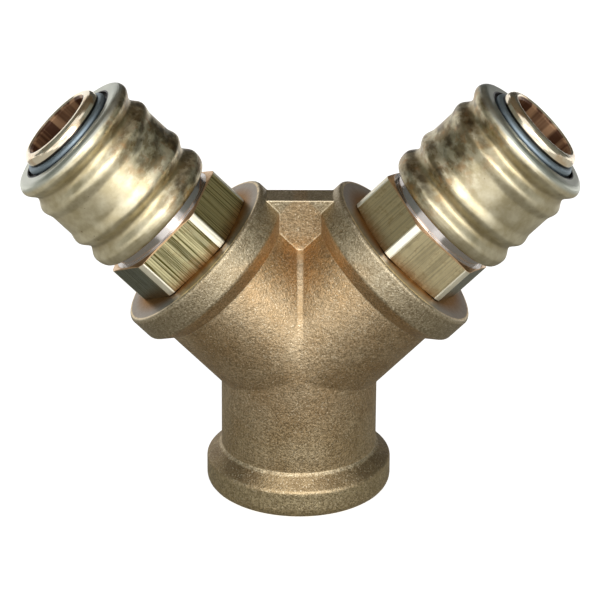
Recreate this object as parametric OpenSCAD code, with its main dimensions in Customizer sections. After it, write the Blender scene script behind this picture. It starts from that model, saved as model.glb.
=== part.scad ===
// Two-way manifold: a cast Y body with an inlet thread below and two
// quick-release plug couplings screwed into its slanting branches.
// The origin is the centre of the inlet face, +Z up, the branches lie in XZ.

/* [Cast body] */
// Height of the point where the three axes meet, and the run to each face
run = 26; // [25:0.5:40]
// Lean of each branch from the vertical
branch_lean = 45; // [43:0.5:50]
// Outside diameter of the three tubes
tube_d = 27.4; // [26.4:0.2:29]
// Outside diameter of the banded collars
collar_d = 32.6; // [31:0.2:36]
// Straight rim of the inlet's collar, before its sloping back
inlet_rim = 5.2; // [3.5:0.1:6]
// Straight rim of a branch's collar, before its sloping back
branch_rim = 4.8; // [3.5:0.1:6]
// Rounding of the inlet collar's lower edge
inlet_round = 1.8; // [0.5:0.1:2.5]
// Rounding of the branch collars' outer edge
branch_round = 0.7; // [0.3:0.1:1.5]
// Rounding where a rim meets its sloping back
rim_round = 1; // [0.2:0.1:1.2]
// Depth of each tapped port
port_depth = 14; // [12.5:0.5:14.5]
// Outside diameter of the pipe thread in the ports
thread_d = 20.96; // [20.5:0.02:21.4]
// Chamfer at the mouth of each port
port_chamfer = 0.4; // [0.2:0.1:0.6]
// Step from the thread's radius in to the passages that join the ports
passage_step = 1.98; // [1.5:0.02:4]
// Thickness of the web in the crotch
web_t = 5; // [3:0.5:8]
// Distance from the web's top corners in to the rims of the collars
web_step = 0.7; // [0.6:0.1:3]
// Distance from the web's ends back to the faces of the collars
web_setback = 1; // [0.8:0.1:3]
// Width of the seam that fills the crease between the branches
seam_w = 0.9; // [0.4:0.1:2]

/* [Adapter] */
// Height of the hexagon's flats over the thread's radius
hex_over = 0.52; // [0.3:0.02:1]
// Height of the hexagon's turned corners over the thread's radius
corner_over = 1.92; // [1.6:0.02:2.1]
// Length of the hexagon
hex_l = 7.9; // [6:0.1:10]
// Depth of the turned chamfers, measured across the end faces
hex_chamfer = 1.3; // [0.8:0.1:1.5]
// Angle of the front chamfer to the end face
front_angle = 12; // [5:1:45]
// Angle of the rear chamfer to the collar's face
rear_angle = 8; // [4:1:45]
// Length of the adapter's outside thread
thread_l = 9; // [7:0.5:11]
// Depth of that thread, and of the undercut beside the hexagon
thread_depth = 1.16; // [1.12:0.02:1.3]
// Length of the undercut
undercut_l = 2; // [1.4:0.1:2.5]
// Step from the thread's radius in to the plain neck in front of the hexagon
neck_step = 0.23; // [0.1:0.01:0.4]
// Length of the plain neck
neck_l = 3.1; // [2.6:0.1:4]
// Turn of the left hexagon about its branch
hex_turn_left = 6.5; // [0:0.5:60]
// Turn of the right hexagon about its branch
hex_turn_right = 4.7; // [0:0.1:60]
// Width of the ledge that the valve spring stands on, round the flow bore
spring_ledge = 2.8; // [2.7:0.05:3.6]
// Depth of the spring chamber below the collar's face
chamber_depth = 4; // [2:0.5:5]

/* [Housing] */
// Step from the thread's radius in to the housing tube
housing_step = 2.18; // [2.03:0.01:2.28]
// Step from the housing tube in to the spigot that screws into the adapter
spigot_step = 0.1; // [0.05:0.01:0.2]
// Length of the spigot
spigot_l = 7.4; // [6.6:0.1:8]
// Wall of the spigot
spigot_wall = 1.1; // [1:0.05:1.3]
// Thickness of the flange that the sleeve spring stands on
flange_t = 1; // [0.8:0.1:1.5]
// Step from the neck down to that flange
flange_step = 0.15; // [0.05:0.05:0.4]
// How far the housing stands out of the sleeve
nose_out = 2.8; // [2.4:0.1:3.6]
// Length of the rounding at the tip of the nose
nose_round = 1.3; // [0.8:0.1:1.6]
// Flat ring left round the mouth
mouth_lip = 0.15; // [0.05:0.05:0.3]
// Chamfer that leads a plug into the mouth
mouth_chamfer = 0.6; // [0.3:0.1:0.8]
// Wall round the bore that takes the collar of the plug, at the mouth
socket_wall = 2.02; // [1.95:0.01:2.1]
// Length of that full bore behind the mouth's chamfer
socket_land = 5; // [4:0.1:5.2]
// Step from that bore to the slightly smaller bore behind it
relief_step = 0.2; // [0.16:0.01:0.25]
// Depth of the socket from the mouth to the step
socket_depth = 12.8; // [12.2:0.1:13]
// Wall round the bore that takes the tip of the plug
tip_wall = 3.2; // [3.1:0.02:3.3]
// Distance from the end of the neck to the narrow end of the valve's seat
seat_ahead = 3.2; // [3:0.1:3.6]

/* [Sleeve] */
// Height of the four rounded ridges over the neck
ridge_over = 2.4; // [2.3:0.05:3]
// Depth of the two finger grooves below the ridges
groove_sink = 1.1; // [0.6:0.05:1.2]
// Depth of the plain band in the middle below the ridges
band_sink = 0.4; // [0.2:0.05:0.6]
// Depth of the front face's outer edge below the ridges
front_sink = 1.45; // [1.1:0.05:1.8]
// Depth of the rear face's outer edge below the ridges
rear_sink = 0.95; // [0.6:0.05:1.4]
// Distance from the sleeve's rear face to its first ridge
first_ridge = 2.05; // [1.8:0.05:2.4]
// Distance between the two ridges of a pair
ridge_pitch = 4.65; // [4.4:0.05:4.9]
// Half width of a ridge where it falls to the plain band
ridge_half = 2; // [1.6:0.1:2.4]
// Distance between the inner ridges, across the plain band
band_span = 7.9; // [7.4:0.1:8.6]
// Length of the rounded front beyond the last ridge
sleeve_front = 1.5; // [1.3:0.05:1.7]
// Length of the bore that slides on the housing behind the balls
bearing_l = 2.2; // [1.6:0.1:3]
// Room outside the balls when they are let out
recess_room = 0.12; // [0.08:0.01:0.2]
// Thickness of the lip between that recess and the snap ring
lip_t = 0.8; // [0.6:0.05:0.9]
// Room round the snap ring in the sleeve's front counterbore
ring_room = 0.6; // [0.4:0.05:0.8]
// Travel of the sleeve towards the hexagon
sleeve_travel = 1.6; // [1.55:0.05:1.7]
// Gap that is left between sleeve and hexagon at the end of the travel
stop_gap = 0.25; // [0.1:0.05:0.5]

/* [Small pieces] */
// Diameter of a locking ball
ball_d = 3.5; // [3.4:0.02:3.56]
// Distance from the mouth to the plane of the balls
ball_setback = 8; // [7.9:0.05:8.2]
// How far a locked ball stands out into the bore
ball_reach = 0.88; // [0.8:0.01:0.9]
// Ramp slope: travel of a ball for each unit of the sleeve's travel
ramp_slope = 0.7; // [0.69:0.01:0.72]
// Wire of the snap ring
ring_wire_d = 1.5; // [1.2:0.05:1.6]
// Depth of the snap ring's groove in the housing
ring_sink = 0.7; // [0.55:0.05:0.8]
// Distance from the mouth to the middle of the snap ring
ring_setback = 2.75; // [2.6:0.05:2.9]
// Opening of the snap ring
ring_opening = 24; // [10:1:40]
// Wire of the sleeve spring
sleeve_wire_d = 0.9; // [0.6:0.05:1]
// Turns of the sleeve spring
sleeve_turns = 5; // [4:0.5:6]
// Wire of the valve spring
valve_wire_d = 0.8; // [0.5:0.05:0.9]
// Turns of the valve spring
valve_turns = 6; // [4:0.5:8]
// Distance from the valve's bore in to the middle of the valve spring's wire
valve_coil_in = 2.1; // [1.9:0.05:2.2]
// Section of the valve's seal
valve_seal_d = 1.4; // [1.2:0.05:1.5]
// Section of the plug's seal
plug_seal_d = 1.9; // [1.7:0.05:2]
// How far that seal stands out into the bore
plug_seal_nip = 0.2; // [0.1:0.02:0.25]
// Section of the seal between housing and adapter
housing_seal_d = 0.96; // [0.8:0.02:1]
// Section of the seal under the hexagon
thread_seal_d = 1.1; // [0.9:0.02:1.14]

/* [Valve] */
// Room between the valve's head and its bore
head_room = 1; // [0.8:0.05:1.3]
// Thickness of the head
head_t = 1.9; // [1.4:0.1:2.4]
// Wall of the valve's tube
valve_wall = 1.45; // [1.25:0.05:1.9]
// Length of the guide wings, back from the front of the head
wing_l = 3; // [2:0.1:3.4]
// Width of a guide wing
wing_w = 2; // [1.4:0.1:3]
// Width of the windows in the valve's tube
window_w = 3.4; // [2.4:0.1:4]
// Length of the windows
window_l = 2.6; // [2:0.1:2.8]
// Rim left between the windows and the end of the tube
window_rim = 0.7; // [0.5:0.05:1]

/* [Fits] */
// Radial clearance of a running fit
running_gap = 0.05; // [0.03:0.01:0.07]
// Clearance between a ball and the ramp, and between a seal and its seat
touch_gap = 0.02; // [0.01:0.01:0.04]

/* [Hidden] */
$fn = 96;
// Cuts run this far past the faces that they open
over = 1;
ball_count = 4;
// Points along a rounded edge, and along each half wave of the sleeve
round_steps = 6;
wave_steps = 10;
// Points along the crest of the seam in the crotch, how far it runs down each side
// of the tubes, and how far its edges stand out of them
crest_steps = 30;
crest_reach = 75;
crest_lift = 0.06;
// Sides of a true circle that is turned into a ring
section_fn = 24;
// Sides of a coil's wire, its steps in a turn, and the turns closed at each end
wire_sides = 6;
coil_steps = 20;
closed_turns = 0.8;

// Radii of the body
tube_r = tube_d / 2;
collar_r = collar_d / 2;
port_r = thread_d / 2;
passage_r = port_r - passage_step;
// The sloping back of a collar falls at this angle to the tube
back_angle = 45;

// Places along a branch, from the face of its collar
neck_end = hex_l + neck_l;
sleeve_rear = hex_l + sleeve_travel + stop_gap;
ridge_1 = sleeve_rear + first_ridge;
ridge_2 = ridge_1 + ridge_pitch;
ridge_3 = ridge_2 + band_span;
ridge_4 = ridge_3 + ridge_pitch;
sleeve_end = ridge_4 + sleeve_front;
mouth_at = sleeve_end + nose_out;
ring_at = mouth_at - ring_setback;
ball_at = mouth_at - ball_setback;
step_at = mouth_at - socket_depth;
spigot_end = neck_end - spigot_l;
flange_end = neck_end + flange_t;
seat_at = neck_end + seat_ahead;

// Radii of the adapter
stud_r = port_r - running_gap;
undercut_r = stud_r - thread_depth;
neck_r = port_r - neck_step;
hex_flat_r = port_r + hex_over;
hex_corner_r = port_r + corner_over;
end_gap = 0.1;
stud_chamfer = 0.8;

// Radii of the housing
housing_r = port_r - housing_step;
spigot_r = housing_r - spigot_step;
valve_bore_r = spigot_r - spigot_wall;
chamber_r = valve_bore_r + end_gap;
flow_r = chamber_r - spring_ledge;
flange_r = neck_r - flange_step;
socket_r = housing_r - socket_wall;
relief_r = socket_r - relief_step;
tip_bore_r = housing_r - tip_wall;
ring_wire_r = ring_wire_d / 2;
ring_groove_r = housing_r - ring_sink;
ring_r = ring_groove_r + running_gap + ring_wire_r;

// Seals: each lies in its groove with the touch gap all round
plug_seal_r = tip_bore_r - plug_seal_nip + plug_seal_d / 2;
plug_groove_r = plug_seal_r + plug_seal_d / 2 + touch_gap;
plug_seal_room = 0.4;
plug_groove_w = plug_seal_d + plug_seal_room;
tip_lip = 0.9;
plug_groove_front = step_at - tip_lip;
plug_groove_rear = plug_groove_front - plug_groove_w;
housing_seal_r = spigot_r + touch_gap + housing_seal_d / 2;
seal_recess_r = housing_seal_r + housing_seal_d / 2 + touch_gap;
seal_recess_l = housing_seal_d + 2 * touch_gap;
thread_seal_r = undercut_r + touch_gap + thread_seal_d / 2;

// Locking balls: the ramp touches a locked ball at the ramp's own slope
ball_r = ball_d / 2;
ball_locked_r = relief_r - ball_reach + ball_r;
ramp_angle = atan(ramp_slope);
bearing_r = housing_r + running_gap;
ramp_reach = ball_r + touch_gap;
ramp_touch_at = ball_at - ramp_reach * sin(ramp_angle);
ramp_touch_r = ball_locked_r + ramp_reach * cos(ramp_angle);
recess_r = ball_locked_r + ramp_slope * sleeve_travel + ball_r + recess_room;
ramp_start = ramp_touch_at - (ramp_touch_r - bearing_r) / ramp_slope;
ramp_end = ramp_start + (recess_r - bearing_r) / ramp_slope;

// Sleeve
sleeve_bore_r = neck_r + running_gap;
counterbore_r = ring_r + ring_wire_r + ring_room;
ring_stop = ring_at - ring_wire_r - running_gap;
spring_stop = ramp_start - bearing_l;
edge_break = 0.3;
sleeve_coil_r = (housing_r + sleeve_bore_r) / 2;
ridge_r = neck_r + ridge_over;
groove_r = ridge_r - groove_sink;
band_r = ridge_r - band_sink;
front_r = ridge_r - front_sink;
rear_r = ridge_r - rear_sink;

// Valve: its seal rests on a seat that narrows at 45 degrees
valve_tube_r = tip_bore_r - running_gap;
valve_seal_r = valve_tube_r + touch_gap + valve_seal_d / 2;
valve_seal_at = seat_at + tip_bore_r - valve_seal_r
    - (valve_seal_d / 2 + touch_gap) * sqrt(2);
head_front = valve_seal_at - valve_seal_d / 2 - touch_gap;
head_rear = head_front - head_t;
valve_front = plug_groove_rear - end_gap;
wing_r = valve_bore_r - running_gap;
window_at = valve_front - window_l - window_rim;
head_r = valve_bore_r - head_room;
valve_flow_r = valve_tube_r - valve_wall;
valve_coil_r = valve_bore_r - valve_coil_in;
wing_count = 4;

// Web: it fills the crotch as far up as the collars' rims
web_foot_r = (port_r + tube_r) / 2;
web_end = run - web_setback;
web_top_r = collar_r - web_step;

// Places in the plane of the Y, from a distance along a branch and off its axis
function branch_x(along, off) = along * sin(branch_lean) - off * cos(branch_lean);
function branch_z(along, off) = run + along * cos(branch_lean) + off * sin(branch_lean);

// Points of a quarter ellipse from a rim point to a face point, as [radius, place]
function quarter(rim, face, n = round_steps) = [for (i = [0:n])
    [face[0] + (rim[0] - face[0]) * cos(90 * i / n),
     rim[1] + (face[1] - rim[1]) * sin(90 * i / n)]];

// Points of a half wave between two places where the profile runs level
function half_wave(from, to, n = wave_steps) = [for (i = [1:n])
    [from[0] + (to[0] - from[0]) * (1 - cos(180 * i / n)) / 2,
     from[1] + (to[1] - from[1]) * i / n]];

// Height of a branch tube's crown over the middle plane, off by x and y
function crown(x, y) = run + (sqrt(pow(tube_r, 2) - pow(y, 2)) + x * cos(branch_lean))
    / sin(branch_lean);

// Points of a list in the reverse order
function reversed(list) = [for (i = [len(list) - 1:-1:0]) list[i]];

// Points on a coil whose first and last turns lie close together
function coil_lift(turn, turns, wire, length) =
    let (shut = closed_turns, open = (length - wire * (1 + 2 * shut)) / (turns - 2 * shut))
    wire / 2 + (turn < shut ? turn * wire
        : turn > turns - shut ? length - wire - (turns - turn) * wire
        : shut * wire + (turn - shut) * open);

// Sets what follows upright on a branch, with the collar's face at zero
module on_branch(side) {
    translate([0, 0, run])
        rotate([0, side * branch_lean, 0])
            translate([0, 0, run])
                children();
}

// Turns a profile of [radius, place] points about the axis
module turned(points) {
    rotate_extrude()
        polygon(points);
}

// A ring of round section
module o_ring(centre_r, section_d, at) {
    translate([0, 0, at])
        rotate_extrude()
            translate([centre_r, 0])
                circle(d = section_d, $fn = section_fn);
}

// A coil spring that stands at the given place
module coil(coil_r, wire_d, turns, length, at) {
    rings = turns * coil_steps;
    wire_r = wire_d / 2;
    n = wire_sides;
    points = [for (i = [0:rings])
        let (around = 360 * i / coil_steps)
        let (lift = coil_lift(i / coil_steps, turns, wire_d, length))
        for (k = [0:n - 1])
            let (out = coil_r + wire_r * cos(360 * k / n))
            [out * cos(around), out * sin(around), at + lift + wire_r * sin(360 * k / n)]];
    skin = [for (i = [0:rings - 1]) for (k = [0:n - 1])
        let (a = i * n + k, b = i * n + (k + 1) % n)
        each [[a, a + n, b + n], [a, b + n, b]]];
    caps = [[for (k = [0:n - 1]) k], [for (k = [n - 1:-1:0]) rings * n + k]];
    polyhedron(points, concat(skin, caps));
}

// One collar's outline, from the root on the tube to the face
function collar_profile(rim, edge) =
    let (back = run - rim, root = back - (collar_r - tube_r) / tan(back_angle))
    concat([[0, root - over], [tube_r, root - over], [tube_r, root]],
        [for (i = [0:round_steps]) let (a = back_angle * (1 - i / round_steps))
            [collar_r - rim_round * (1 - cos(a)),
             back + rim_round * (tan(back_angle / 2) - sin(a))]],
        quarter([collar_r, run - edge], [collar_r - edge, run]),
        [[0, run]]);

// Tube, collar and bores of one port, along +Z from the junction
module port_metal(rim, edge) {
    cylinder(r = tube_r, h = run - rim);
    turned(collar_profile(rim, edge));
}

module port_bore() {
    translate([0, 0, run - port_depth])
        cylinder(r = port_r, h = port_depth + over);
    turned([[0, run - port_chamfer], [port_r, run - port_chamfer],
        [port_r + port_chamfer, run], [port_r + port_chamfer, run + over], [0, run + over]]);
}

// The three ports in turn: below, left and right
module each_port() {
    translate([0, 0, run]) {
        rotate([180, 0, 0])
            children(0);
        for (side = [-1, 1])
            rotate([0, side * branch_lean, 0])
                children(1);
    }
}

module web() {
    top = branch_z(web_end, web_top_r);
    outer = [[branch_x(web_end, web_foot_r), branch_z(web_end, web_foot_r)],
        [branch_x(web_end, web_top_r), top]];
    foot = [0, run + web_foot_r / sin(branch_lean)];
    translate([0, web_t / 2, 0])
        rotate([90, 0, 0])
            linear_extrude(web_t)
                polygon(concat([foot], outer, [for (p = reversed(outer)) [-p[0], p[1]]]));
}

// Narrow fill along the crease where the two branch tubes meet
module seam() {
    half = seam_w / 2;
    crest = [for (i = [0:crest_steps])
        let (y = tube_r * sin(crest_reach * (2 * i / crest_steps - 1)))
        [y, crown(half, y) + crest_lift]];
    end_y = tube_r * sin(crest_reach);
    rotate([90, 0, 90])
        translate([0, 0, -half])
            linear_extrude(seam_w)
                polygon(concat([[end_y, run], [-end_y, run]], crest));
}

module body() {
    color("darkgoldenrod")
        difference() {
            union() {
                each_port() {
                    port_metal(inlet_rim, inlet_round);
                    port_metal(branch_rim, branch_round);
                }
                web();
                seam();
            }
            each_port() {
                port_bore();
                port_bore();
            }
            each_port() {
                cylinder(r = passage_r, h = run - port_depth + over);
                cylinder(r = passage_r, h = run - port_depth + over);
            }
        }
}

// Hexagon with turned corners and chamfers, standing on the collar's face
module hexagon(turn) {
    face_r = hex_corner_r - hex_chamfer;
    rear = hex_chamfer * tan(rear_angle);
    front = hex_l - hex_chamfer * tan(front_angle);
    intersection() {
        rotate(turn)
            cylinder(r = hex_flat_r / cos(30), h = hex_l, $fn = 6);
        turned([[0, 0], [face_r, 0], [hex_corner_r, rear], [hex_corner_r, front],
            [face_r, hex_l], [0, hex_l]]);
    }
}

module adapter(turn) {
    color("goldenrod")
        difference() {
            union() {
                hexagon(turn);
                turned([[0, -thread_l], [stud_r - stud_chamfer, -thread_l],
                    [stud_r, stud_chamfer - thread_l], [stud_r, -undercut_l],
                    [undercut_r, -undercut_l], [undercut_r, hex_l / 2],
                    [neck_r, hex_l / 2], [neck_r, neck_end], [0, neck_end]]);
            }
            turned([[0, -thread_l - over], [flow_r, -thread_l - over],
                [flow_r, -chamber_depth], [chamber_r, -chamber_depth],
                [chamber_r, spigot_end - end_gap],
                [spigot_r + running_gap, spigot_end - end_gap],
                [spigot_r + running_gap, neck_end - seal_recess_l],
                [seal_recess_r, neck_end - seal_recess_l],
                [seal_recess_r, neck_end + over], [0, neck_end + over]]);
        }
}

// Round-bottomed pocket of one locking ball, with its axis along +Z
module ball_pocket() {
    r = ball_r + running_gap;
    rotate_extrude()
        union() {
            intersection() {
                circle(r = r);
                translate([0, -r])
                    square([r, 2 * r]);
            }
            square([r, housing_r]);
        }
}

// Sets what follows at one ball's place, with +Z pointing out of the housing
module at_ball(index) {
    translate([0, 0, ball_at])
        rotate((index - 0.5) * 360 / ball_count)
            rotate([0, 90, 0])
                translate([0, 0, ball_locked_r])
                    children();
}

module housing() {
    nose_tip_r = socket_r + mouth_chamfer + mouth_lip;
    groove_half = ring_wire_r + running_gap;
    outside = concat(
        [[spigot_r, spigot_end], [spigot_r, neck_end], [flange_r, neck_end],
         [flange_r, flange_end], [housing_r, flange_end],
         [housing_r, ring_at - groove_half], [ring_groove_r, ring_at - groove_half],
         [ring_groove_r, ring_at + groove_half], [housing_r, ring_at + groove_half]],
        quarter([housing_r, mouth_at - nose_round], [nose_tip_r, mouth_at]));
    inside = [[socket_r + mouth_chamfer, mouth_at], [socket_r, mouth_at - mouth_chamfer],
        [socket_r, mouth_at - mouth_chamfer - socket_land],
        [relief_r, mouth_at - mouth_chamfer - socket_land],
        [relief_r, step_at], [tip_bore_r, step_at],
        [tip_bore_r, plug_groove_front], [plug_groove_r, plug_groove_front],
        [plug_groove_r, plug_groove_rear], [tip_bore_r, plug_groove_rear],
        [tip_bore_r, seat_at], [valve_bore_r, seat_at - (valve_bore_r - tip_bore_r)],
        [valve_bore_r, spigot_end]];
    color("gold")
        difference() {
            turned(concat(outside, inside));
            for (index = [1:ball_count])
                at_ball(index)
                    ball_pocket();
        }
}

module sleeve() {
    groove_1 = [groove_r, (ridge_1 + ridge_2) / 2];
    groove_2 = [groove_r, (ridge_3 + ridge_4) / 2];
    band_rear = [band_r, ridge_2 + ridge_half];
    band_front = [band_r, ridge_3 - ridge_half];
    outside = concat(
        reversed(quarter([ridge_r, ridge_1], [rear_r, sleeve_rear])),
        half_wave([ridge_r, ridge_1], groove_1),
        half_wave(groove_1, [ridge_r, ridge_2]),
        half_wave([ridge_r, ridge_2], band_rear),
        [band_front],
        half_wave(band_front, [ridge_r, ridge_3]),
        half_wave([ridge_r, ridge_3], groove_2),
        half_wave(groove_2, [ridge_r, ridge_4]),
        quarter([ridge_r, ridge_4], [front_r, sleeve_end]));
    inside = [[counterbore_r, sleeve_end], [counterbore_r, ring_stop], [bearing_r, ring_stop],
        [bearing_r, ring_stop - lip_t], [recess_r, ring_stop - lip_t], [recess_r, ramp_end],
        [bearing_r, ramp_start], [bearing_r, spring_stop], [sleeve_bore_r, spring_stop],
        [sleeve_bore_r, sleeve_rear + edge_break],
        [sleeve_bore_r + edge_break, sleeve_rear]];
    color("khaki")
        turned(concat(outside, inside));
}

module snap_ring() {
    color("slategray")
        translate([0, 0, ring_at])
            rotate(90 + ring_opening / 2)
                rotate_extrude(angle = 360 - ring_opening)
                    translate([ring_r, 0])
                        circle(r = ring_wire_r, $fn = section_fn);
}

module sleeve_spring() {
    foot = flange_end + touch_gap;
    color("silver")
        coil(sleeve_coil_r, sleeve_wire_d, sleeve_turns, spring_stop - touch_gap - foot, foot);
}

module ball(index) {
    color("lightsteelblue")
        at_ball(index)
            sphere(r = ball_r);
}

module valve() {
    color("peru")
        difference() {
            union() {
                turned([[0, head_rear], [head_r, head_rear], [head_r, head_front],
                    [valve_tube_r, head_front], [valve_tube_r, valve_front], [0, valve_front]]);
                intersection() {
                    for (index = [0:wing_count - 1])
                        rotate(index * 360 / wing_count)
                            translate([0, -wing_w / 2, head_front - wing_l])
                                cube([valve_bore_r, wing_w, wing_l]);
                    translate([0, 0, head_front - wing_l])
                        difference() {
                            cylinder(r = wing_r, h = wing_l);
                            translate([0, 0, -over])
                                cylinder(r = valve_coil_r + valve_wire_d,
                                    h = over + wing_l - head_t);
                        }
                }
            }
            translate([0, 0, window_at - over / 2])
                cylinder(r = valve_flow_r, h = valve_front);
            for (turn = [45, 135])
                rotate(turn)
                    translate([-valve_bore_r, -window_w / 2, window_at])
                        cube([2 * valve_bore_r, window_w, window_l]);
        }
}

module valve_seal() {
    color("dimgray")
        o_ring(valve_seal_r, valve_seal_d, valve_seal_at);
}

module valve_spring() {
    foot = touch_gap - chamber_depth;
    color("silver")
        coil(valve_coil_r, valve_wire_d, valve_turns, head_rear - touch_gap - foot, foot);
}

module plug_seal() {
    color("dimgray")
        o_ring(plug_seal_r, plug_seal_d, (plug_groove_front + plug_groove_rear) / 2);
}

module housing_seal() {
    color("dimgray")
        o_ring(housing_seal_r, housing_seal_d, neck_end - seal_recess_l / 2);
}

module thread_seal() {
    color("dimgray")
        o_ring(thread_seal_r, thread_seal_d, -thread_seal_d / 2 - touch_gap);
}

body();

on_branch(-1) adapter(hex_turn_left);  // left_adapter
on_branch(-1) housing();  // left_housing
on_branch(-1) sleeve();  // left_sleeve
on_branch(-1) snap_ring();  // left_snap_ring
on_branch(-1) sleeve_spring();  // left_sleeve_spring
on_branch(-1) ball(1);  // left_ball_1
on_branch(-1) ball(2);  // left_ball_2
on_branch(-1) ball(3);  // left_ball_3
on_branch(-1) ball(4);  // left_ball_4
on_branch(-1) valve();  // left_valve
on_branch(-1) valve_seal();  // left_valve_seal
on_branch(-1) valve_spring();  // left_valve_spring
on_branch(-1) plug_seal();  // left_plug_seal
on_branch(-1) housing_seal();  // left_housing_seal
on_branch(-1) thread_seal();  // left_thread_seal

on_branch(1) adapter(hex_turn_right);  // right_adapter
on_branch(1) housing();  // right_housing
on_branch(1) sleeve();  // right_sleeve
on_branch(1) snap_ring();  // right_snap_ring
on_branch(1) sleeve_spring();  // right_sleeve_spring
on_branch(1) ball(1);  // right_ball_1
on_branch(1) ball(2);  // right_ball_2
on_branch(1) ball(3);  // right_ball_3
on_branch(1) ball(4);  // right_ball_4
on_branch(1) valve();  // right_valve
on_branch(1) valve_seal();  // right_valve_seal
on_branch(1) valve_spring();  // right_valve_spring
on_branch(1) plug_seal();  // right_plug_seal
on_branch(1) housing_seal();  // right_housing_seal
on_branch(1) thread_seal();  // right_thread_seal
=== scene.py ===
"""Looks of a two-way manifold: cast body, drawn and turned brass, blued wire, rubber."""
import math

import bmesh
import bpy
from mathutils import Matrix, Vector


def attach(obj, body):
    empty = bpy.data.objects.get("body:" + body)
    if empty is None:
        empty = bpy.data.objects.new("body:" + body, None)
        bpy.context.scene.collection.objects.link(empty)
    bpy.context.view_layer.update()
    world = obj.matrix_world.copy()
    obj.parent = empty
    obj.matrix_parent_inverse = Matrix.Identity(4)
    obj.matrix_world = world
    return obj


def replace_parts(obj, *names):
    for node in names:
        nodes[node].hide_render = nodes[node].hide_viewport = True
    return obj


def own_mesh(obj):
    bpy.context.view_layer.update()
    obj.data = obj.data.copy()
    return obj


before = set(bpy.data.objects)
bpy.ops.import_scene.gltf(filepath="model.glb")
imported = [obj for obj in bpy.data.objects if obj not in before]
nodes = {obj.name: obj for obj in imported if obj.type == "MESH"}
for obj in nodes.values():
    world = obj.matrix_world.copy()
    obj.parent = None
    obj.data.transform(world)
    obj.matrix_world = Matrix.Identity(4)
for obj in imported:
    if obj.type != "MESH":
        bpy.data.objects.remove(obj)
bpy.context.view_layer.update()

# Sizes of the object, in metres
MM = 0.001
RUN = 26 * MM
LEAN = math.radians(45)
SIDES = {"left": -1, "right": 1}
BALLS = (1, 2, 3, 4)
MAJOR_R = 10.48 * MM
THREAD_PITCH = 1.814 * MM
THREAD_DEPTH = 1.16 * MM
THREAD_START = 0.5 * MM
THREAD_END = 13.7 * MM

# Coil springs: the body each rides on, the joint that shortens it, and its sizes
SPRINGS = {
    "sleeve_spring": {"body": "spring_ring", "joint": "sleeve_slide", "travel": 1.6 * MM,
                      "radius": 9.3 * MM, "wire": 0.9 * MM, "turns": 5,
                      "foot": 12.02 * MM, "length": 9.97 * MM},
    "valve_spring": {"body": "", "joint": "valve_slide", "travel": 4.5 * MM,
                     "radius": 5 * MM, "wire": 0.8 * MM, "turns": 6,
                     "foot": -3.98 * MM, "length": 13.85 * MM},
}
CLOSED_TURNS = 0.8

# The photograph's camera, in the frame's own units
CAMERA_TARGET = Vector((0.00007, 0, 0.0349))
CAMERA_DISTANCE = 0.6076
CAMERA_ELEVATION = math.radians(24.14)
CAMERA_AZIMUTH = math.radians(-0.55)
CAMERA_ROLL = math.radians(0.38)
CAMERA_LENS = 208.2


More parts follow.
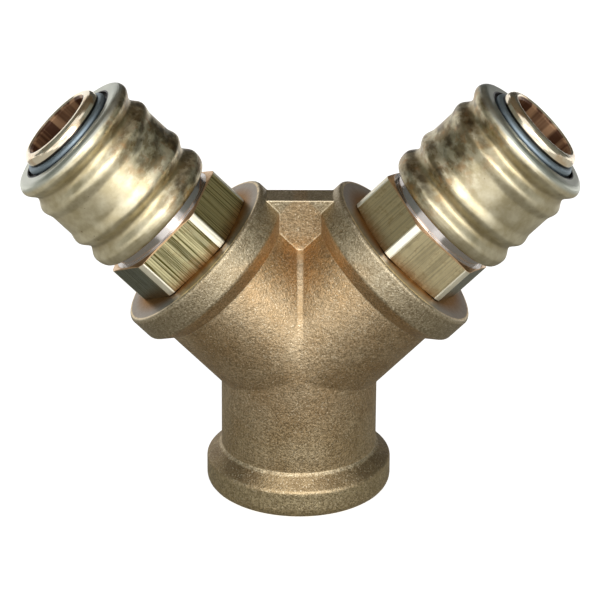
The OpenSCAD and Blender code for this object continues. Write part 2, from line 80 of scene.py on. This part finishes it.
class Nodes:
    """A material's node tree, with short calls for the nodes that repeat."""

    def __init__(self, name):
        self.material = bpy.data.materials.new(name)
        self.material.use_nodes = True
        self.tree = self.material.node_tree
        self.shader = self.tree.nodes["Principled BSDF"]

    def add(self, kind, values=None, **settings):
        node = self.tree.nodes.new(kind)
        for name, value in settings.items():
            setattr(node, name, value)
        for socket, value in (values or {}).items():
            self.feed(node.inputs[socket], value)
        return node

    def feed(self, socket, value):
        if isinstance(value, bpy.types.NodeSocket):
            self.tree.links.new(value, socket)
        else:
            socket.default_value = value

    def place(self, side=0):
        """Place in millimetres: in the row's frame, or in a branch's with +Z along it."""
        coords = self.add("ShaderNodeTexCoord").outputs["Object"]
        values = {"Vector": coords, "Scale": (MM, MM, MM)}
        if side:
            values["Location"] = (0, 0, RUN)
            values["Rotation"] = (0, side * LEAN, 0)
        return self.add("ShaderNodeMapping", values, vector_type="TEXTURE").outputs[0]

    def stretch(self, vector, scale):
        return self.add("ShaderNodeVectorMath", {0: vector, 1: scale}, operation="MULTIPLY").outputs[0]

    def noise(self, vector, size, detail=3.0, rough=0.55):
        values = {"Vector": vector, "Scale": 1 / size, "Detail": detail, "Roughness": rough}
        return self.add("ShaderNodeTexNoise", values).outputs["Fac"]

    def cells(self, vector, size, feature="F1"):
        values = {"Vector": vector, "Scale": 1 / size}
        return self.add("ShaderNodeTexVoronoi", values, feature=feature).outputs["Distance"]

    def calc(self, operation, a, b=0.0, c=0.0, clamp=False):
        values = {0: a, 1: b, 2: c}
        return self.add("ShaderNodeMath", values, operation=operation, use_clamp=clamp).outputs[0]

    def span(self, value, low, high, start=0.0, end=1.0):
        """The value's range low to high, spread over start to end and held beyond."""
        values = {0: value, 1: low, 2: high, 3: start, 4: end}
        return self.add("ShaderNodeMapRange", values, clamp=True).outputs[0]

    def mix(self, factor, a, b, blend="MIX"):
        node = self.add("ShaderNodeMix", {0: factor}, data_type="RGBA", blend_type=blend)
        self.feed(node.inputs[6], colour(a))
        self.feed(node.inputs[7], colour(b))
        return node.outputs[2]

    def split(self, vector):
        return self.add("ShaderNodeSeparateXYZ", {0: vector}).outputs

    def radius(self, vector):
        parts = self.split(vector)
        square = self.calc("ADD", self.calc("MULTIPLY", parts[0], parts[0]),
                           self.calc("MULTIPLY", parts[1], parts[1]))
        return self.calc("SQRT", square)

    def bump(self, height, distance, normal=None):
        values = {"Height": height, "Distance": distance, "Strength": 1.0}
        if normal is not None:
            values["Normal"] = normal
        return self.add("ShaderNodeBump", values).outputs[0]

    def bevel(self, radius):
        return self.add("ShaderNodeBevel", {"Radius": radius}, samples=6).outputs[0]

    def edges(self, radius, sharpness=6.0):
        """1 along edges and 0 on flat ground, from how far the bevelled normal turns."""
        face = self.add("ShaderNodeNewGeometry").outputs["Normal"]
        turn = self.add("ShaderNodeVectorMath", {0: self.bevel(radius), 1: face},
                        operation="DOT_PRODUCT").outputs["Value"]
        return self.calc("MULTIPLY", self.calc("SUBTRACT", 1.0, turn), sharpness, clamp=True)

    def finish(self, **sockets):
        for name, value in sockets.items():
            self.feed(self.shader.inputs[name.replace("_", " ")], colour(value))
        return self.material


def colour(value):
    """Colours are written as three numbers, and sockets want four."""
    if isinstance(value, tuple) and len(value) == 3:
        return (*value, 1.0)
    return value


def cast_bronze():
    """Blasted casting: gold-brown grain, greyer rims, bright edges and flat-turned port faces, with
    painted light: paler towards the bottom, painted shade on the inlet shoulder and down the front
    crease, painted highlights at the shoulder's root and on the collar lips, and painted reflections
    on the port faces.
    """
    m = Nodes("cast_bronze")
    place = m.place()
    parts = m.split(place)
    wide = m.calc("ABSOLUTE", parts[0])
    offset = m.add("ShaderNodeVectorMath", {0: place, 1: (0, 0, 26)},
                   operation="SUBTRACT").outputs[0]
    square = m.add("ShaderNodeVectorMath", {0: offset, 1: offset},
                   operation="DOT_PRODUCT").outputs["Value"]
    run = None
    for lean in (-LEAN, LEAN, math.pi):
        axis = (math.sin(lean), 0, math.cos(lean))
        along = m.add("ShaderNodeVectorMath", {0: offset, 1: axis},
                      operation="DOT_PRODUCT").outputs["Value"]
        run = along if run is None else m.calc("MAXIMUM", run, along)
    faces = m.calc("GREATER_THAN", run, 26 - 0.03)
    rims = m.span(run, 20.9, 21.4)
    spread = m.calc("SQRT", m.calc("MAXIMUM", 0.0, m.calc(
        "SUBTRACT", square, m.calc("MULTIPLY", run, run))))

    grain = m.noise(place, 0.34, 3, 0.6)
    blots = m.noise(place, 1.1, 3, 0.6)
    patches = m.noise(place, 7, 3, 0.5)
    fleck = m.noise(place, 0.26, 1, 0.5)
    ground = m.mix(m.span(patches, 0.35, 0.65), (0.51, 0.36, 0.20), (0.64, 0.50, 0.32))
    ground = m.mix(m.calc("MULTIPLY", rims, 0.6), ground, (0.43, 0.40, 0.29))
    # Paler towards the bottom, on the lower tube and the inlet collar's band: painted light.
    ground = m.mix(m.span(parts[2], 20, 12, 0, 0.22), ground, (0.80, 0.68, 0.40))
    ground = m.mix(m.span(parts[2], 5.2, 4.8, 0, 0.35), ground, (0.88, 0.72, 0.42))
    # Painted dark reflection on the inlet collar's sloping shoulder.
    shoulder = m.calc("MULTIPLY", m.span(parts[2], 5.2, 5.6), m.span(parts[2], 7.5, 7.2))
    shoulder = m.calc("MULTIPLY", shoulder, m.span(patches, 0.4, 0.6, 0.3, 0.7))
    ground = m.mix(shoulder, ground, (0.20, 0.13, 0.06))
    # Painted highlight at the root of the inlet collar's shoulder, where a fillet would catch the
    # light.
    root = m.calc("MULTIPLY", m.span(parts[2], 7.3, 7.5), m.span(parts[2], 7.9, 7.6))
    root = m.calc("MULTIPLY", root, m.span(blots, 0.35, 0.55, 0.05, 0.55))
    ground = m.mix(root, ground, (0.98, 0.86, 0.62))
    crotch = m.calc("MULTIPLY", m.span(wide, 13, 6), m.span(parts[2], 35, 46))
    crotch = m.calc("MULTIPLY", crotch, m.span(parts[2], 48.5, 47))
    tint = m.calc("MULTIPLY", crotch, m.span(blots, 0.35, 0.6, 0.25, 0.75))
    ground = m.mix(tint, ground, (0.62, 0.38, 0.17))
    ground = m.mix(m.span(grain, 0.4, 0.56), m.mix(0.52, ground, (0.17, 0.115, 0.05)), ground)
    ground = m.mix(m.span(blots, 0.38, 0.6, 0.25, 0), ground, (0.20, 0.13, 0.06))
    ground = m.mix(m.span(fleck, 0.6, 0.72, 0, 0.5), ground, (1.0, 0.88, 0.66))
    seam = m.calc("MULTIPLY", m.span(wide, 0.9, 0.2), m.span(parts[2], 38, 44))
    seam = m.calc("MULTIPLY", seam, m.span(parts[2], 46.5, 46.2))
    seam = m.calc("MULTIPLY", seam, m.span(blots, 0.3, 0.6, 0.1, 0.5))
    ground = m.mix(seam, ground, (0.82, 0.70, 0.52))
    # Painted shade down the front crease between the branches, below the crotch.
    dull_and_crease_shade = m.calc("MULTIPLY", m.span(wide, 0.9, 0.6), m.span(parts[2], 46.5, 46.2))
    dull_and_crease_shade = m.calc("MULTIPLY", dull_and_crease_shade, m.span(parts[2], 44.5, 40, 0, 0.5))
    dull_and_crease_shade = m.calc("MULTIPLY", dull_and_crease_shade, m.span(parts[2], 35.5, 38.5))
    ground = m.mix(dull_and_crease_shade, ground, (0.24, 0.16, 0.08))

    crease = m.calc("LESS_THAN", wide, 2.0)
    kept = m.calc("SUBTRACT", 1.0, m.calc("MULTIPLY", crease, m.span(parts[2], 38, 46, 1, 0)))
    bright_edge_and_lip_highlight = m.calc("MULTIPLY", m.edges(0.5 * MM), m.span(patches, 0.3, 0.6, 0.5, 1.0))
    bright_edge_and_lip_highlight = m.calc("MULTIPLY", bright_edge_and_lip_highlight, kept)
    # Painted highlight along each collar's lip, where the flat face meets its rounding.
    lip = m.calc("MULTIPLY", m.span(spread, 15.4, 15.6), m.span(spread, 16.0, 15.8))
    lip = m.calc("MULTIPLY", lip, m.calc("GREATER_THAN", run, 25.6))
    bright_edge_and_lip_highlight = m.calc("MAXIMUM", bright_edge_and_lip_highlight, m.calc("MULTIPLY", lip, m.span(blots, 0.35, 0.55, 0.5, 1)))
    ground = m.mix(m.calc("MULTIPLY", bright_edge_and_lip_highlight, 0.75), ground, (0.95, 0.82, 0.58))
    rough_normal = m.bump(m.calc("ADD", grain, blots), 0.08 * MM, m.bevel(0.35 * MM))

    # Port faces: painted reflections, brass-brown near the hexagon and grey further out, with the
    # bright edges laid over them.
    cloud = m.noise(place, 1.5, 3, 0.6)
    face_reflection = m.mix(m.span(spread, 12.2, 14.6), m.mix(cloud, (0.22, 0.12, 0.05), (0.40, 0.25, 0.12)),
                     m.mix(cloud, (0.35, 0.35, 0.33), (0.48, 0.49, 0.47)))
    face_reflection = m.mix(bright_edge_and_lip_highlight, face_reflection, (0.95, 0.85, 0.62))
    normal = m.add("ShaderNodeMix", {0: faces}, data_type="VECTOR")
    m.feed(normal.inputs[4], rough_normal)
    m.feed(normal.inputs[5], m.bevel(0.2 * MM))
    rough = m.calc("SUBTRACT", m.span(grain, 0.3, 0.7, 0.36, 0.56), m.calc("MULTIPLY", faces, 0.08))
    return m.finish(Base_Color=m.mix(faces, ground, face_reflection), Metallic=1.0, Roughness=rough,
                    Specular_Tint=m.mix(faces, (1, 1, 1), (0.62, 0.50, 0.42)),
                    Normal=normal.outputs[1])


# Hexagon facets painted darker or paler by the way they face, as painted reflections: direction in
# degrees, share and colour
FACET_REFLECTIONS = {-1: ((216.5, 0.7, (0.08, 0.115, 0.095)), (336.5, 0.4, (1.0, 0.80, 0.32))),
          1: ((334.7, 0.75, (0.13, 0.17, 0.155)), (214.7, 0.2, (0.62, 0.42, 0.17)))}


def drawn_brass(side):
    """Hexagon bar with lengthwise draw lines, its corners, chamfers and neck turned bright; painted
    reflections on its facets, painted shade at its rear, and the right copy painted paler.
    """
    m = Nodes(f"drawn_brass_{'left' if side < 0 else 'right'}")
    place = m.place(side)
    line_depth_and_shade = {-1: 1.0, 1: 0.3}[side]
    lines = m.noise(m.stretch(place, (1, 1, 0.015)), 0.36, 3, 0.75)
    wide = m.noise(m.stretch(place, (1, 1, 0.03)), 1.5, 2, 0.5)
    dull_and_crease_shade = m.noise(place, 1.6, 5, 0.7)
    flat = m.mix(m.span(lines, 0.4, 0.6), (0.10, 0.085, 0.02), (0.64, 0.58, 0.33))
    flat = m.mix(m.span(wide, 0.42, 0.6, 0, 0.55 * line_depth_and_shade), flat, (0.30, 0.28, 0.17))
    # The right hexagon is painted paler than the left: painted light.
    flat = m.mix(1 - line_depth_and_shade, flat, (0.90, 0.76, 0.47))
    flat = m.mix(m.span(dull_and_crease_shade, 0.52, 0.68, 0, 0.55), flat, (0.30, 0.20, 0.08))
    along = m.calc("SUBTRACT", m.split(place)[2], 26)
    spread = m.radius(place)
    # Darker towards the hexagon's rear: painted shadow and painted reflection of the collar.
    rear = m.calc("MULTIPLY", m.span(along, 2.6, 0.4), m.span(dull_and_crease_shade, 0.4, 0.5, 0.3, 0.75))
    flat = m.mix(rear, flat, (0.34, 0.20, 0.085))
    for turn, factor, tone in FACET_REFLECTIONS[side]:
        out = (math.cos(math.radians(turn)), math.sin(math.radians(turn)), 0)
        reach = m.add("ShaderNodeVectorMath", {0: place, 1: out},
                      operation="DOT_PRODUCT").outputs["Value"]
        facet = m.calc("MULTIPLY", m.calc("GREATER_THAN", reach, 10.96), factor)
        flat = m.mix(facet, flat, tone)
    flat = m.mix(m.span(lines, 0.4, 0.5, 0.5 * line_depth_and_shade, 0), flat, (0.06, 0.05, 0.01))
    turned = m.calc("GREATER_THAN", spread, 12.28)
    front = m.calc("GREATER_THAN", along, 7.6)
    base = m.mix(turned, flat, (0.98, 0.93, 0.76))
    base = m.mix(front, base, (0.70, 0.46, 0.25))
    neck = m.calc("MULTIPLY", front, m.calc("LESS_THAN", spread, 10.9))
    base = m.mix(neck, base, (0.55, 0.51, 0.48))
    height = m.calc("ADD", lines, m.calc("MULTIPLY", wide, 0.5))
    height = m.calc("MULTIPLY", height, m.calc("MULTIPLY_ADD", neck, -line_depth_and_shade, line_depth_and_shade))
    rough = m.calc("ADD", m.span(dull_and_crease_shade, 0.3, 0.7, 0.28, 0.42), m.calc("MULTIPLY", turned, 0.12))
    rough = m.calc("SUBTRACT", rough, m.calc("MULTIPLY", neck, 0.18))
    return m.finish(Base_Color=base, Metallic=1.0, Roughness=rough,
                    Normal=m.bump(height, 0.05 * MM, m.bevel(0.12 * MM)))


def satin_brass(side):
    """Sleeve: pale satin brass, faintly wavy and pitted, the right copy painted darker; painted shade
    in its grooves, painted reflections on its upper inner side and front rim, and a painted shadow in
    its mouth.
    """
    m = Nodes(f"satin_brass_{'left' if side < 0 else 'right'}")
    place = m.place(side)
    mottle = m.noise(place, 2.6, 4, 0.6)
    wave = m.noise(place, 3.2, 2, 0.5)
    rings = m.noise(m.stretch(place, (0.05, 0.05, 1)), 0.12, 3, 0.6)
    pits = m.cells(place, 2.3)
    pit = m.calc("LESS_THAN", m.calc("ADD", pits, m.span(mottle, 0.3, 0.7, -0.04, 0.06)), 0.06)
    # The right sleeve's colour is scaled darker than the left's: painted shade.
    shade = {-1: 1.0, 1: 0.87}[side]
    base = m.mix(m.span(mottle, 0.35, 0.65), (0.58 * shade, 0.50 * shade, 0.31 * shade),
                 (0.78 * shade, 0.71 * shade, 0.51 * shade))
    parts = m.split(place)
    spread = m.radius(place)
    # Painted reflections on the upper inner side: dark, orange-brown and near-black patches.
    upper = m.span(m.calc("MULTIPLY", parts[0], -side), 2, 9)
    dark_reflection = m.noise(m.stretch(place, (0.7, 0.7, 1.3)), 2.8, 4, 0.65)
    dark_reflection = m.calc("MULTIPLY", m.span(dark_reflection, 0.45, 0.56, 0, 0.72), upper)
    base = m.mix(dark_reflection, base, (0.26, 0.18, 0.08))
    orange_reflection = m.calc("MULTIPLY", m.span(m.noise(place, 1.8, 2, 0.5), 0.54, 0.68, 0, 0.4), upper)
    base = m.mix(orange_reflection, base, (0.50, 0.24, 0.08))
    black_reflection = m.noise(m.stretch(place, (0.8, 0.8, 1.4)), 2.8, 3, 0.5)
    black_reflection = m.calc("MULTIPLY", m.span(black_reflection, 0.48, 0.64, 0, 0.7), m.calc("MULTIPLY", upper, upper))
    base = m.mix(black_reflection, base, (0.07, 0.05, 0.025))
    # Painted shade in the grooves between the ridges and on the narrower front end.
    base = m.mix(m.span(spread, 12.0, 11.6, 0, 0.4), base, (0.34, 0.26, 0.12))
    base = m.mix(m.calc("MULTIPLY", pit, 0.7), base, (0.26, 0.16, 0.07))
    front = m.calc("GREATER_THAN", parts[2], 26 + 28)
    # Painted cool grey reflection on the sleeve's front rim.
    rim = m.calc("MULTIPLY", m.span(m.split(place)[2], 26 + 29.3, 26 + 29.9), 0.7)
    base = m.mix(rim, base, (0.62, 0.67, 0.62))
    # Painted shadow in the sleeve's mouth, in the gap round the ring.
    mouth = m.calc("MULTIPLY", m.calc("LESS_THAN", spread, 10.0), front)
    base = m.mix(mouth, base, (0.03, 0.025, 0.02))
    height = m.calc("SUBTRACT", m.calc("MULTIPLY", rings, 0.2), pit)
    height = m.calc("ADD", height, m.calc("MULTIPLY", wave, 2.2))
    return m.finish(Base_Color=base, Metallic=1.0,
                    Roughness=m.span(mottle, 0.3, 0.7, 0.33, 0.43),
                    Normal=m.bump(height, 0.02 * MM, m.bevel(0.2 * MM)))


def polished_brass(side):
    """Housing: polished nose, a bore behind the mouth browner with painted shade and streaked with
    painted reflections, and a painted shadow in its groove.
    """
    m = Nodes(f"polished_brass_{'left' if side < 0 else 'right'}")
    place = m.place(side)
    smear = m.noise(place, 2.0, 3, 0.6)
    spread = m.radius(place)
    inside = m.span(spread, 6.75, 6.6)
    # The bore: painted shade, streaked with lengthwise painted reflections.
    streak = m.noise(m.stretch(place, (1, 1, 0.05)), 1.7, 2, 0.5)
    bore = m.mix(m.span(streak, 0.42, 0.58), (0.09, 0.035, 0.015), (0.44, 0.25, 0.13))
    nose = m.mix(smear, (0.90, 0.77, 0.56), (0.97, 0.89, 0.72))
    nose = m.mix(m.span(m.noise(place, 3.5, 3, 0.6), 0.5, 0.62, 0, 0.45), nose, (0.60, 0.36, 0.16))
    # Painted shadow in the groove beside the ring.
    groove = m.calc("MULTIPLY", m.calc("LESS_THAN", m.split(place)[2], 26 + 31.7),
                    m.calc("GREATER_THAN", spread, 7.4))
    base = m.mix(groove, m.mix(inside, nose, bore), (0.04, 0.035, 0.03))
    return m.finish(Base_Color=base, Metallic=m.calc("MULTIPLY_ADD", inside, -0.55, 1.0),
                    Roughness=m.calc("MULTIPLY_ADD", inside, 0.2, m.span(smear, 0.3, 0.7, 0.14, 0.22)),
                    Normal=m.bevel(0.12 * MM))


def turned_metal(name, low, high, rough, size=1.2):
    """Plain turned or drawn metal for the small pieces."""
    m = Nodes(name)
    cloud = m.noise(m.place(), size, 3, 0.6)
    return m.finish(Base_Color=m.mix(cloud, low, high), Metallic=1.0,
                    Roughness=m.span(cloud, 0.3, 0.7, rough - 0.05, rough + 0.08),
                    Normal=m.bump(cloud, 0.01 * MM))


def seal_rubber():
    m = Nodes("seal_rubber")
    cloud = m.noise(m.place(), 0.8, 3, 0.6)
    return m.finish(Base_Color=m.mix(cloud, (0.018, 0.018, 0.018), (0.04, 0.04, 0.042)),
                    Roughness=m.span(cloud, 0.3, 0.7, 0.45, 0.6), Normal=m.bump(cloud, 0.02 * MM))


def dress(node, material):
    mesh = nodes[node].data
    mesh.materials.clear()
    mesh.materials.append(material)


def dress_all():
    cast = cast_bronze()
    dress("body", cast)
    add_inlet_thread(cast)
    valve = turned_metal("valve_brass", (0.52, 0.36, 0.18), (0.68, 0.50, 0.28), 0.25)
    wire = turned_metal("ring_steel", (0.20, 0.26, 0.30), (0.31, 0.37, 0.41), 0.5, 0.9)
    spring = turned_metal("spring_steel", (0.45, 0.45, 0.44), (0.62, 0.62, 0.60), 0.3)
    ball = turned_metal("ball_steel", (0.60, 0.61, 0.62), (0.72, 0.73, 0.74), 0.12)
    rubber = seal_rubber()
    for name, side in SIDES.items():
        dress(f"{name}_adapter", drawn_brass(side))
        dress(f"{name}_sleeve", satin_brass(side))
        dress(f"{name}_housing", polished_brass(side))
        dress(f"{name}_snap_ring", wire)
        dress(f"{name}_valve", valve)
        for piece in SPRINGS:
            dress(f"{name}_{piece}", spring)
            add_spring(name, piece, spring)
        for index in BALLS:
            dress(f"{name}_ball_{index}", ball)
        for piece in ("valve_seal", "plug_seal", "housing_seal", "thread_seal"):
            dress(f"{name}_{piece}", rubber)


def branch(side):
    """From a branch's own frame, with its collar's face at zero, to the row's."""
    lean = Matrix.Rotation(side * LEAN, 4, "Y")
    return Matrix.Translation((0, 0, RUN)) @ lean @ Matrix.Translation((0, 0, RUN))


def sweep(name, rings, material):
    """A closed, smooth tube through rings of points, with its two ends capped."""
    mesh = bpy.data.meshes.new(name)
    count = len(rings[0])
    faces = [(i * count + k, i * count + (k + 1) % count,
              (i + 1) * count + (k + 1) % count, (i + 1) * count + k)
             for i in range(len(rings) - 1) for k in range(count)]
    last = (len(rings) - 1) * count
    faces += [tuple(range(count))[::-1], tuple(last + k for k in range(count))]
    mesh.from_pydata([point for ring in rings for point in ring], [], faces)
    mesh.shade_smooth()
    mesh.materials.append(material)
    made = bmesh.new()
    made.from_mesh(mesh)
    bmesh.ops.recalc_face_normals(made, faces=made.faces)
    made.to_mesh(mesh)
    made.free()
    piece = bpy.data.objects.new(name, mesh)
    bpy.context.scene.collection.objects.link(piece)
    return piece


def add_inlet_thread(material):
    """The pipe thread's ridge, run out at both ends, on the inlet's smooth bore."""
    steps = 60
    turns = (THREAD_END - THREAD_START) / THREAD_PITCH - 1
    total = round(turns * steps)
    shape = [(0.0, 0.0), (0.14, 0.28), (0.3, 0.72), (0.42, 0.97), (0.5, 1.0),
             (0.58, 0.97), (0.7, 0.72), (0.86, 0.28), (1.0, 0.0)]
    rings = []
    for i in range(total + 1):
        around = 2 * math.pi * i / steps
        fade = max(0.02, min(1, i / (0.6 * steps), (total - i) / (0.6 * steps)))
        low = THREAD_START + THREAD_PITCH * i / steps
        ring = []
        for along, height in shape:
            radius = MAJOR_R + 0.02 * MM - THREAD_DEPTH * height * fade
            ring.append((radius * math.cos(around), radius * math.sin(around),
                         low + THREAD_PITCH * along))
        for along in (0.95, 0.05):
            radius = MAJOR_R + 0.15 * MM
            ring.append((radius * math.cos(around), radius * math.sin(around),
                         low + THREAD_PITCH * along))
        rings.append(ring)
    piece = sweep("inlet_thread", rings, material)
    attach(piece, "manifold")


def coil_lift(turn, spring):
    """Height of the wire's middle over the spring's foot, with close end turns."""
    wire, turns = spring["wire"], spring["turns"]
    pitch = (spring["length"] - wire * (1 + 2 * CLOSED_TURNS)) / (turns - 2 * CLOSED_TURNS)
    if turn < CLOSED_TURNS:
        return wire / 2 + turn * wire
    if turn > turns - CLOSED_TURNS:
        return spring["length"] - wire / 2 - (turns - turn) * wire
    return wire / 2 + CLOSED_TURNS * wire + (turn - CLOSED_TURNS) * pitch


def add_spring(side_name, piece_name, material):
    """Round wire in place of the frame's coil, at its rest length."""
    spring = SPRINGS[piece_name]
    side = SIDES[side_name]
    steps, section = 28, 10
    rings = []
    for i in range(spring["turns"] * steps + 1):
        around = 2 * math.pi * i / steps
        ring = []
        for k in range(section):
            turn = 2 * math.pi * k / section
            out = spring["radius"] + spring["wire"] / 2 * math.cos(turn)
            up = spring["foot"] + coil_lift(i / steps, spring) + spring["wire"] / 2 * math.sin(turn)
            point = Vector((out * math.cos(around), out * math.sin(around), up))
            ring.append(tuple(branch(side) @ point))
        rings.append(ring)
    piece = sweep(f"{side_name}_{piece_name}_wire", rings, material)
    body = f"{side_name}_{spring['body']}" if spring["body"] else "manifold"
    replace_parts(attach(piece, body), f"{side_name}_{piece_name}")
    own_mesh(piece)


def add_camera():
    elevation, azimuth = CAMERA_ELEVATION, CAMERA_AZIMUTH
    back = Vector((math.sin(azimuth) * math.cos(elevation),
                   -math.cos(azimuth) * math.cos(elevation), math.sin(elevation)))
    level = Vector((math.cos(azimuth), math.sin(azimuth), 0))
    rise = back.cross(level)
    right = level * math.cos(CAMERA_ROLL) + rise * math.sin(CAMERA_ROLL)
    up = rise * math.cos(CAMERA_ROLL) - level * math.sin(CAMERA_ROLL)
    data = bpy.data.cameras.new("camera")
    data.lens = CAMERA_LENS
    data.sensor_width = 36
    camera = bpy.data.objects.new("camera", data)
    rotation = Matrix((right, up, back)).transposed().to_4x4()
    camera.matrix_world = Matrix.Translation(CAMERA_TARGET + back * CAMERA_DISTANCE) @ rotation
    bpy.context.scene.collection.objects.link(camera)
    bpy.context.scene.camera = camera


def add_lamp(name, place, size, power):
    data = bpy.data.lights.new(name, "AREA")
    data.shape = "RECTANGLE"
    data.size, data.size_y = size
    data.energy = power
    lamp = bpy.data.objects.new(name, data)
    lamp.location = place
    lamp.rotation_euler = (Vector(place) - CAMERA_TARGET).to_track_quat("Z", "Y").to_euler()
    bpy.context.scene.collection.objects.link(lamp)


def add_card(name, place, size, shade, aim=CAMERA_TARGET):
    """A dark card that only the object sees, as the dark half of a light tent."""
    mesh = bpy.data.meshes.new(name)
    made = bmesh.new()
    bmesh.ops.create_grid(made, x_segments=1, y_segments=1, size=0.5)
    made.to_mesh(mesh)
    made.free()
    card = bpy.data.objects.new(name, mesh)
    card.scale = (*size, 1)
    card.location = place
    card.rotation_euler = (Vector(place) - Vector(aim)).to_track_quat("Z", "Y").to_euler()
    card.visible_camera = False
    card.visible_diffuse = False
    card.visible_shadow = False
    bpy.context.scene.collection.objects.link(card)
    material = bpy.data.materials.new(name)
    material.use_nodes = True
    shader = material.node_tree.nodes["Principled BSDF"]
    shader.inputs["Base Color"].default_value = (*shade, 1)
    shader.inputs["Roughness"].default_value = 0.9
    shader.inputs["Specular IOR Level"].default_value = 0.0
    mesh.materials.append(material)


def seen_rays(tree):
    """1 for camera, glossy and transmission rays."""
    path = tree.nodes.new("ShaderNodeLightPath")
    total = path.outputs["Is Camera Ray"]
    for name in ("Is Glossy Ray", "Is Transmission Ray"):
        add = tree.nodes.new("ShaderNodeMath")
        add.operation = "MAXIMUM"
        tree.links.new(total, add.inputs[0])
        tree.links.new(path.outputs[name], add.inputs[1])
        total = add.outputs[0]
    return total


def add_world():
    world = bpy.data.worlds.new("studio")
    bpy.context.scene.world = world
    world.use_nodes = True
    tree = world.node_tree
    ground = tree.nodes["Background"]
    ground.inputs["Color"].default_value = (1, 1, 1, 1)
    level = tree.nodes.new("ShaderNodeMapRange")
    level.inputs[3].default_value = 0.45
    level.inputs[4].default_value = 1.0
    tree.links.new(seen_rays(tree), level.inputs[0])
    tree.links.new(level.outputs[0], ground.inputs["Strength"])


def add_floor():
    mesh = bpy.data.meshes.new("floor")
    made = bmesh.new()
    bmesh.ops.create_circle(made, cap_ends=True, segments=96, radius=1.6)
    made.to_mesh(mesh)
    made.free()
    floor = bpy.data.objects.new("floor", mesh)
    floor.location.z = -0.05 * MM
    bpy.context.scene.collection.objects.link(floor)
    material = bpy.data.materials.new("floor_white")
    material.use_nodes = True
    tree = material.node_tree
    shader = tree.nodes["Principled BSDF"]
    shader.inputs["Base Color"].default_value = (0.55, 0.55, 0.55, 1)
    shader.inputs["Roughness"].default_value = 0.9
    shader.inputs["Specular IOR Level"].default_value = 0.0
    shader.inputs["Emission Color"].default_value = (1, 1, 1, 1)
    level = tree.nodes.new("ShaderNodeMath")
    level.operation = "MULTIPLY"
    level.inputs[1].default_value = 0.85
    tree.links.new(seen_rays(tree), level.inputs[0])
    tree.links.new(level.outputs[0], shader.inputs["Emission Strength"])
    mesh.materials.append(material)


def add_studio():
    bpy.context.scene.view_settings.view_transform = "Standard"
    add_world()
    add_floor()
    add_lamp("key", (-0.08, -0.85, 0.65), (0.9, 0.5), 4.8)
    add_lamp("fill", (0.35, -0.8, 0.3), (0.4, 0.5), 1.6)
    add_card("ceiling", (0.0, 0.35, 0.65), (1.6, 0.9), (0.21, 0.17, 0.12))
    add_card("back", (0.35, 0.75, 0.1), (1.0, 0.8), (0.13, 0.13, 0.12))
    for side in SIDES.values():
        add_card(f"wing_{side}", (side * 0.6, 0.0, 0.2), (0.9, 1.2), (0.32, 0.345, 0.32))
    add_card("apron", (0.0, -0.03, 0.0004), (0.13, 0.26), (0.35, 0.34, 0.30), (0.0, -0.03, -1.0))
    add_card("mat", (0.0, -0.03, 0.0002), (0.9, 0.26), (0.62, 0.61, 0.56), (0.0, -0.03, -1.0))


add_camera()
dress_all()
add_studio()
